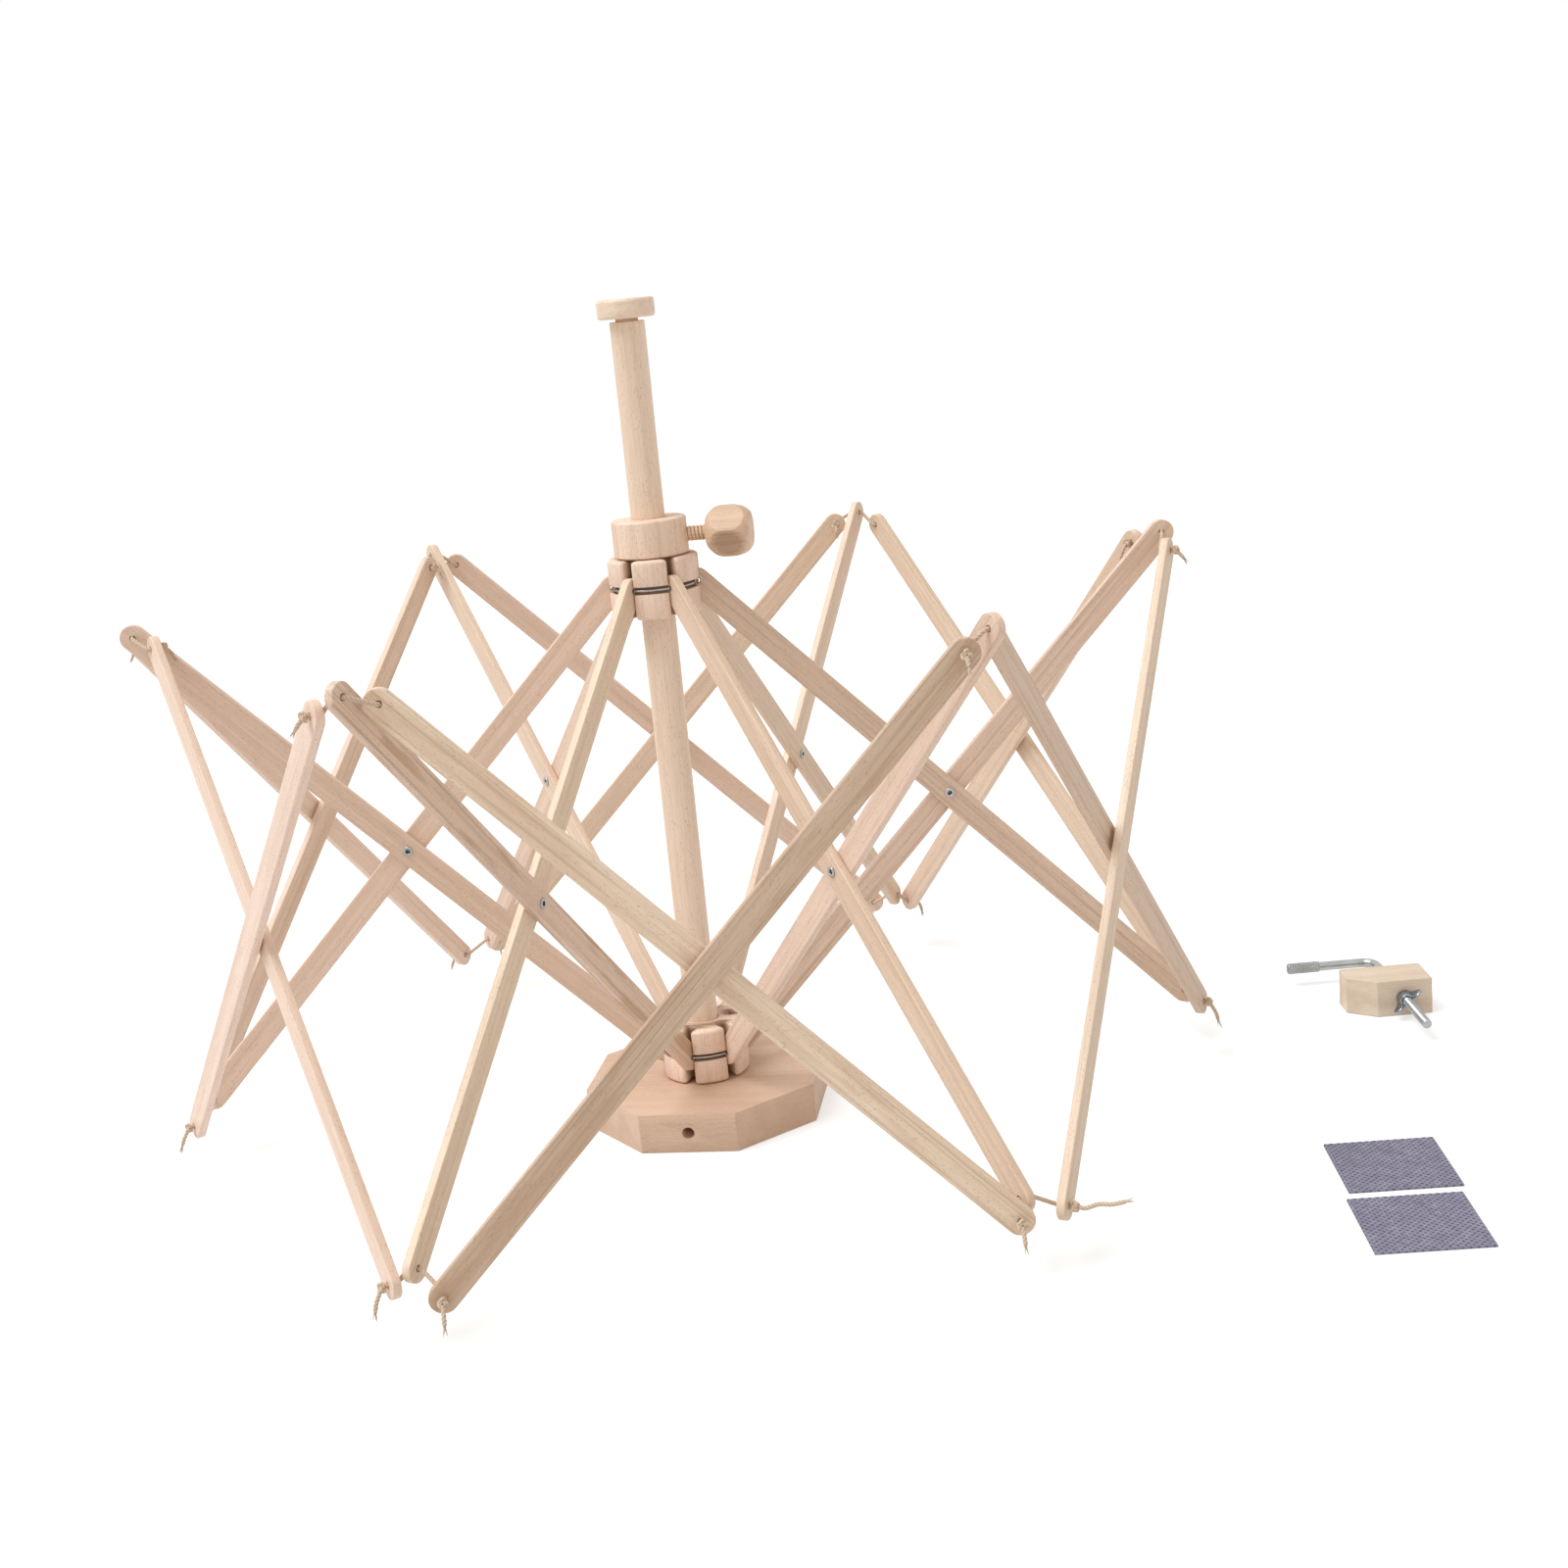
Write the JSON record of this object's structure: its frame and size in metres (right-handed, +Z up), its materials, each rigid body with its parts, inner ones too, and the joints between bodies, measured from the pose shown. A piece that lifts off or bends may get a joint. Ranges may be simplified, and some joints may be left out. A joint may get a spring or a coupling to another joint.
{
  "type": "yarn holder",
  "caption": "Folding wooden yarn swift on an octagonal base, with a sliding collar, a table clamp and grip pads; it holds a hank of yarn while it is wound",
  "frame": {"origin": "centre of the base's underside, on the post's axis", "axes": "+Z up along the post; the base's clamp hole opens towards -Y; +X is the thumbscrew's direction at rest"},
  "size_m": [0.7682, 0.6244, 0.4907],
  "materials": {
    "beech": "smooth unfinished beech",
    "pale_beech": "smooth pale beech",
    "rivet_steel": "plated steel",
    "wire_steel": "bright drawn wire",
    "rod_steel": "bright steel",
    "zinc": "bluish zinc plate",
    "pad_rubber": "matt dotted grip mat",
    "string": "twisted cotton string"
  },
  "bodies": {
    "stand": {"base": "beech", "post": "beech", "clamp_rod": "rod_steel", "grip_pad_1": "pad_rubber", "grip_pad_2": "pad_rubber"},
    "cap": {"cap": "pale_beech"},
    "lower_hub": {"lower_hub": "beech", "lower_wire": "wire_steel"},
    "upper_hub": {"upper_hub": "beech", "upper_wire": "wire_steel"},
    "collar": {"collar": "beech"},
    "thumbscrew": {"thumbscrew": "beech"},
    "clamp_block": {"clamp_block": "pale_beech"},
    "wing_nut": {"wing_nut": "zinc"},
    "lower_rib_1": {"lower_rib_1": "beech", "rivet_1": "rivet_steel"},
    "upper_rib_1": {"upper_rib_1": "beech"},
    "top_tie_1": {"top_tie_1": "string"},
    "bottom_tie_1": {"bottom_tie_1": "string"},
    "inner_slat_1": {"inner_slat_1": "beech"},
    "outer_slat_1": {"outer_slat_1": "beech"},
    "lower_rib_2": {"lower_rib_2": "beech", "rivet_2": "rivet_steel"},
    "upper_rib_2": {"upper_rib_2": "beech"},
    "top_tie_2": {"top_tie_2": "string"},
    "bottom_tie_2": {"bottom_tie_2": "string"},
    "inner_slat_2": {"inner_slat_2": "beech"},
    "outer_slat_2": {"outer_slat_2": "beech"},
    "lower_rib_3": {"lower_rib_3": "beech", "rivet_3": "rivet_steel"},
    "upper_rib_3": {"upper_rib_3": "beech"},
    "top_tie_3": {"top_tie_3": "string"},
    "bottom_tie_3": {"bottom_tie_3": "string"},
    "inner_slat_3": {"inner_slat_3": "beech"},
    "outer_slat_3": {"outer_slat_3": "beech"},
    "lower_rib_4": {"lower_rib_4": "beech", "rivet_4": "rivet_steel"},
    "upper_rib_4": {"upper_rib_4": "beech"},
    "top_tie_4": {"top_tie_4": "string"},
    "bottom_tie_4": {"bottom_tie_4": "string"},
    "inner_slat_4": {"inner_slat_4": "beech"},
    "outer_slat_4": {"outer_slat_4": "beech"},
    "lower_rib_5": {"lower_rib_5": "beech", "rivet_5": "rivet_steel"},
    "upper_rib_5": {"upper_rib_5": "beech"},
    "top_tie_5": {"top_tie_5": "string"},
    "bottom_tie_5": {"bottom_tie_5": "string"},
    "inner_slat_5": {"inner_slat_5": "beech"},
    "outer_slat_5": {"outer_slat_5": "beech"},
    "lower_rib_6": {"lower_rib_6": "beech", "rivet_6": "rivet_steel"},
    "upper_rib_6": {"upper_rib_6": "beech"},
    "top_tie_6": {"top_tie_6": "string"},
    "bottom_tie_6": {"bottom_tie_6": "string"},
    "inner_slat_6": {"inner_slat_6": "beech"},
    "outer_slat_6": {"outer_slat_6": "beech"}
  },
  "joints": [
    {"name": "swift_spin", "type": "hinge", "parent": "stand", "child": "lower_hub", "pos_m": [0, 0, 0.0413], "axis": [0, 0, 1], "continuous": true},
    {"name": "swift_fold", "type": "hinge", "parent": "lower_hub", "child": "lower_rib_1", "pos_m": [-0.02421, -0.00537, 0.0413], "axis": [-0.2164, 0.9763, 0], "range_deg": [-16, 32]},
    {"name": "cross_1_pivot", "type": "hinge", "parent": "lower_rib_1", "child": "upper_rib_1", "pos_m": [-0.15917, -0.03529, 0.18445], "axis": [-0.2164, 0.9763, 0], "range_deg": [-64, 32]},
    {"name": "upper_hub_pivot", "type": "hinge", "parent": "upper_rib_1", "child": "upper_hub", "pos_m": [-0.02421, -0.00537, 0.3276], "axis": [-0.2164, 0.9763, 0], "range_deg": [-16, 32]},
    {"name": "top_tie_1_pivot", "type": "hinge", "parent": "lower_rib_1", "child": "top_tie_1", "pos_m": [-0.29413, -0.06521, 0.3276], "axis": [-0.2164, 0.9763, 0], "range_deg": [-32, 16]},
    {"name": "bottom_tie_1_pivot", "type": "hinge", "parent": "upper_rib_1", "child": "bottom_tie_1", "pos_m": [-0.29413, -0.06521, 0.0413], "axis": [-0.2164, 0.9763, 0], "range_deg": [-16, 32]},
    {"name": "lower_rib_2_pivot", "type": "hinge", "parent": "lower_hub", "child": "lower_rib_2", "pos_m": [-0.00746, -0.02365, 0.0413], "axis": [-0.9537, 0.3007, 0], "range_deg": [-16, 32]},
    {"name": "cross_2_pivot", "type": "hinge", "parent": "lower_rib_2", "child": "upper_rib_2", "pos_m": [-0.04903, -0.15549, 0.18445], "axis": [-0.9537, 0.3007, 0], "range_deg": [-64, 32]},
    {"name": "top_tie_2_pivot", "type": "hinge", "parent": "lower_rib_2", "child": "top_tie_2", "pos_m": [-0.09059, -0.28733, 0.3276], "axis": [-0.9537, 0.3007, 0], "range_deg": [-32, 16]},
    {"name": "bottom_tie_2_pivot", "type": "hinge", "parent": "upper_rib_2", "child": "bottom_tie_2", "pos_m": [-0.09059, -0.28733, 0.0413], "axis": [-0.9537, 0.3007, 0], "range_deg": [-16, 32]},
    {"name": "lower_rib_3_pivot", "type": "hinge", "parent": "lower_hub", "child": "lower_rib_3", "pos_m": [0.01675, -0.01828, 0.0413], "axis": [-0.7373, -0.6756, 0], "range_deg": [-16, 32]},
    {"name": "cross_3_pivot", "type": "hinge", "parent": "lower_rib_3", "child": "upper_rib_3", "pos_m": [0.11015, -0.1202, 0.18445], "axis": [-0.7373, -0.6756, 0], "range_deg": [-64, 32]},
    {"name": "top_tie_3_pivot", "type": "hinge", "parent": "lower_rib_3", "child": "top_tie_3", "pos_m": [0.20354, -0.22212, 0.3276], "axis": [-0.7373, -0.6756, 0], "range_deg": [-32, 16]},
    {"name": "bottom_tie_3_pivot", "type": "hinge", "parent": "upper_rib_3", "child": "bottom_tie_3", "pos_m": [0.20354, -0.22212, 0.0413], "axis": [-0.7373, -0.6756, 0], "range_deg": [-16, 32]},
    {"name": "lower_rib_4_pivot", "type": "hinge", "parent": "lower_hub", "child": "lower_rib_4", "pos_m": [0.02421, 0.00537, 0.0413], "axis": [0.2164, -0.9763, 0], "range_deg": [-16, 32]},
    {"name": "cross_4_pivot", "type": "hinge", "parent": "lower_rib_4", "child": "upper_rib_4", "pos_m": [0.15917, 0.03529, 0.18445], "axis": [0.2164, -0.9763, 0], "range_deg": [-64, 32]},
    {"name": "top_tie_4_pivot", "type": "hinge", "parent": "lower_rib_4", "child": "top_tie_4", "pos_m": [0.29413, 0.06521, 0.3276], "axis": [0.2164, -0.9763, 0], "range_deg": [-32, 16]},
    {"name": "bottom_tie_4_pivot", "type": "hinge", "parent": "upper_rib_4", "child": "bottom_tie_4", "pos_m": [0.29413, 0.06521, 0.0413], "axis": [0.2164, -0.9763, 0], "range_deg": [-16, 32]},
    {"name": "lower_rib_5_pivot", "type": "hinge", "parent": "lower_hub", "child": "lower_rib_5", "pos_m": [0.00746, 0.02365, 0.0413], "axis": [0.9537, -0.3007, 0], "range_deg": [-16, 32]},
    {"name": "cross_5_pivot", "type": "hinge", "parent": "lower_rib_5", "child": "upper_rib_5", "pos_m": [0.04903, 0.15549, 0.18445], "axis": [0.9537, -0.3007, 0], "range_deg": [-64, 32]},
    {"name": "top_tie_5_pivot", "type": "hinge", "parent": "lower_rib_5", "child": "top_tie_5", "pos_m": [0.09059, 0.28733, 0.3276], "axis": [0.9537, -0.3007, 0], "range_deg": [-32, 16]},
    {"name": "bottom_tie_5_pivot", "type": "hinge", "parent": "upper_rib_5", "child": "bottom_tie_5", "pos_m": [0.09059, 0.28733, 0.0413], "axis": [0.9537, -0.3007, 0], "range_deg": [-16, 32]},
    {"name": "lower_rib_6_pivot", "type": "hinge", "parent": "lower_hub", "child": "lower_rib_6", "pos_m": [-0.01675, 0.01828, 0.0413], "axis": [0.7373, 0.6756, 0], "range_deg": [-16, 32]},
    {"name": "cross_6_pivot", "type": "hinge", "parent": "lower_rib_6", "child": "upper_rib_6", "pos_m": [-0.11015, 0.1202, 0.18445], "axis": [0.7373, 0.6756, 0], "range_deg": [-64, 32]},
    {"name": "top_tie_6_pivot", "type": "hinge", "parent": "lower_rib_6", "child": "top_tie_6", "pos_m": [-0.20354, 0.22212, 0.3276], "axis": [0.7373, 0.6756, 0], "range_deg": [-32, 16]},
    {"name": "bottom_tie_6_pivot", "type": "hinge", "parent": "upper_rib_6", "child": "bottom_tie_6", "pos_m": [-0.20354, 0.22212, 0.0413], "axis": [0.7373, 0.6756, 0], "range_deg": [-16, 32]},
    {"name": "inner_slat_1_pivot", "type": "hinge", "parent": "top_tie_1", "child": "inner_slat_1", "pos_m": [-0.27761, -0.07584, 0.3216], "axis": [0.7373, 0.6756, 0], "range_deg": [-16, 32]},
    {"name": "outer_slat_1_pivot", "type": "hinge", "parent": "top_tie_2", "child": "outer_slat_1", "pos_m": [-0.1034, -0.28224, 0.3186], "axis": [-0.7373, -0.6756, 0], "range_deg": [-16, 32]},
    {"name": "inner_slat_2_pivot", "type": "hinge", "parent": "top_tie_2", "child": "inner_slat_2", "pos_m": [-0.07313, -0.27834, 0.3216], "axis": [-0.2164, 0.9763, 0], "range_deg": [-16, 32]},
    {"name": "outer_slat_2_pivot", "type": "hinge", "parent": "top_tie_3", "child": "outer_slat_2", "pos_m": [0.19273, -0.23066, 0.3186], "axis": [0.2164, -0.9763, 0], "range_deg": [-16, 32]},
    {"name": "inner_slat_3_pivot", "type": "hinge", "parent": "top_tie_3", "child": "inner_slat_3", "pos_m": [0.20448, -0.2025, 0.3216], "axis": [-0.9537, 0.3007, 0], "range_deg": [-16, 32]},
    {"name": "outer_slat_3_pivot", "type": "hinge", "parent": "top_tie_4", "child": "outer_slat_3", "pos_m": [0.29613, 0.05158, 0.3186], "axis": [0.9537, -0.3007, 0], "range_deg": [-16, 32]},
    {"name": "inner_slat_4_pivot", "type": "hinge", "parent": "top_tie_4", "child": "inner_slat_4", "pos_m": [0.27761, 0.07584, 0.3216], "axis": [-0.7373, -0.6756, 0], "range_deg": [-16, 32]},
    {"name": "outer_slat_4_pivot", "type": "hinge", "parent": "top_tie_5", "child": "outer_slat_4", "pos_m": [0.1034, 0.28224, 0.3186], "axis": [0.7373, 0.6756, 0], "range_deg": [-16, 32]},
    {"name": "inner_slat_5_pivot", "type": "hinge", "parent": "top_tie_5", "child": "inner_slat_5", "pos_m": [0.07313, 0.27834, 0.3216], "axis": [0.2164, -0.9763, 0], "range_deg": [-16, 32]},
    {"name": "outer_slat_5_pivot", "type": "hinge", "parent": "top_tie_6", "child": "outer_slat_5", "pos_m": [-0.19273, 0.23066, 0.3186], "axis": [-0.2164, 0.9763, 0], "range_deg": [-16, 32]},
    {"name": "inner_slat_6_pivot", "type": "hinge", "parent": "top_tie_6", "child": "inner_slat_6", "pos_m": [-0.20448, 0.2025, 0.3216], "axis": [0.9537, -0.3007, 0], "range_deg": [-16, 32]},
    {"name": "outer_slat_6_pivot", "type": "hinge", "parent": "top_tie_1", "child": "outer_slat_6", "pos_m": [-0.29613, -0.05158, 0.3186], "axis": [-0.9537, 0.3007, 0], "range_deg": [-16, 32]},
    {"name": "collar_turn", "type": "hinge", "parent": "upper_hub", "child": "collar", "pos_m": [0, 0, 0.345], "axis": [0, 0, 1], "continuous": true},
    {"name": "thumbscrew_turn", "type": "hinge", "parent": "collar", "child": "thumbscrew", "pos_m": [0.03, 0, 0.35575], "axis": [1, 0, 0], "continuous": true},
    {"name": "cap_lift", "type": "slide", "parent": "stand", "child": "cap", "axis": [0, 0, 1], "range_m": [0, 0.012]},
    {"name": "block_slide", "type": "slide", "parent": "stand", "child": "clamp_block", "axis": [-0.1392, 0.9903, 0], "range_m": [-0.03, 0.028]},
    {"name": "wing_nut_turn", "type": "hinge", "parent": "clamp_block", "child": "wing_nut", "pos_m": [0.43544, 0.10573, 0.012], "axis": [-0.1392, 0.9903, 0], "continuous": true}
  ],
  "couplings": [
    {"joint": "cross_1_pivot", "follows": "swift_fold", "ratio": -2},
    {"joint": "upper_hub_pivot", "follows": "swift_fold", "ratio": 1},
    {"joint": "top_tie_1_pivot", "follows": "swift_fold", "ratio": -1},
    {"joint": "bottom_tie_1_pivot", "follows": "swift_fold", "ratio": 1},
    {"joint": "lower_rib_2_pivot", "follows": "swift_fold", "ratio": 1},
    {"joint": "cross_2_pivot", "follows": "swift_fold", "ratio": -2},
    {"joint": "top_tie_2_pivot", "follows": "swift_fold", "ratio": -1},
    {"joint": "bottom_tie_2_pivot", "follows": "swift_fold", "ratio": 1},
    {"joint": "lower_rib_3_pivot", "follows": "swift_fold", "ratio": 1},
    {"joint": "cross_3_pivot", "follows": "swift_fold", "ratio": -2},
    {"joint": "top_tie_3_pivot", "follows": "swift_fold", "ratio": -1},
    {"joint": "bottom_tie_3_pivot", "follows": "swift_fold", "ratio": 1},
    {"joint": "lower_rib_4_pivot", "follows": "swift_fold", "ratio": 1},
    {"joint": "cross_4_pivot", "follows": "swift_fold", "ratio": -2},
    {"joint": "top_tie_4_pivot", "follows": "swift_fold", "ratio": -1},
    {"joint": "bottom_tie_4_pivot", "follows": "swift_fold", "ratio": 1},
    {"joint": "lower_rib_5_pivot", "follows": "swift_fold", "ratio": 1},
    {"joint": "cross_5_pivot", "follows": "swift_fold", "ratio": -2},
    {"joint": "top_tie_5_pivot", "follows": "swift_fold", "ratio": -1},
    {"joint": "bottom_tie_5_pivot", "follows": "swift_fold", "ratio": 1},
    {"joint": "lower_rib_6_pivot", "follows": "swift_fold", "ratio": 1},
    {"joint": "cross_6_pivot", "follows": "swift_fold", "ratio": -2},
    {"joint": "top_tie_6_pivot", "follows": "swift_fold", "ratio": -1},
    {"joint": "bottom_tie_6_pivot", "follows": "swift_fold", "ratio": 1},
    {"joint": "inner_slat_1_pivot", "follows": "swift_fold", "ratio": 1},
    {"joint": "outer_slat_1_pivot", "follows": "swift_fold", "ratio": 1},
    {"joint": "inner_slat_2_pivot", "follows": "swift_fold", "ratio": 1},
    {"joint": "outer_slat_2_pivot", "follows": "swift_fold", "ratio": 1},
    {"joint": "inner_slat_3_pivot", "follows": "swift_fold", "ratio": 1},
    {"joint": "outer_slat_3_pivot", "follows": "swift_fold", "ratio": 1},
    {"joint": "inner_slat_4_pivot", "follows": "swift_fold", "ratio": 1},
    {"joint": "outer_slat_4_pivot", "follows": "swift_fold", "ratio": 1},
    {"joint": "inner_slat_5_pivot", "follows": "swift_fold", "ratio": 1},
    {"joint": "outer_slat_5_pivot", "follows": "swift_fold", "ratio": 1},
    {"joint": "inner_slat_6_pivot", "follows": "swift_fold", "ratio": 1},
    {"joint": "outer_slat_6_pivot", "follows": "swift_fold", "ratio": 1},
    {"joint": "collar_turn", "follows": "swift_spin", "ratio": -1}
  ]
}
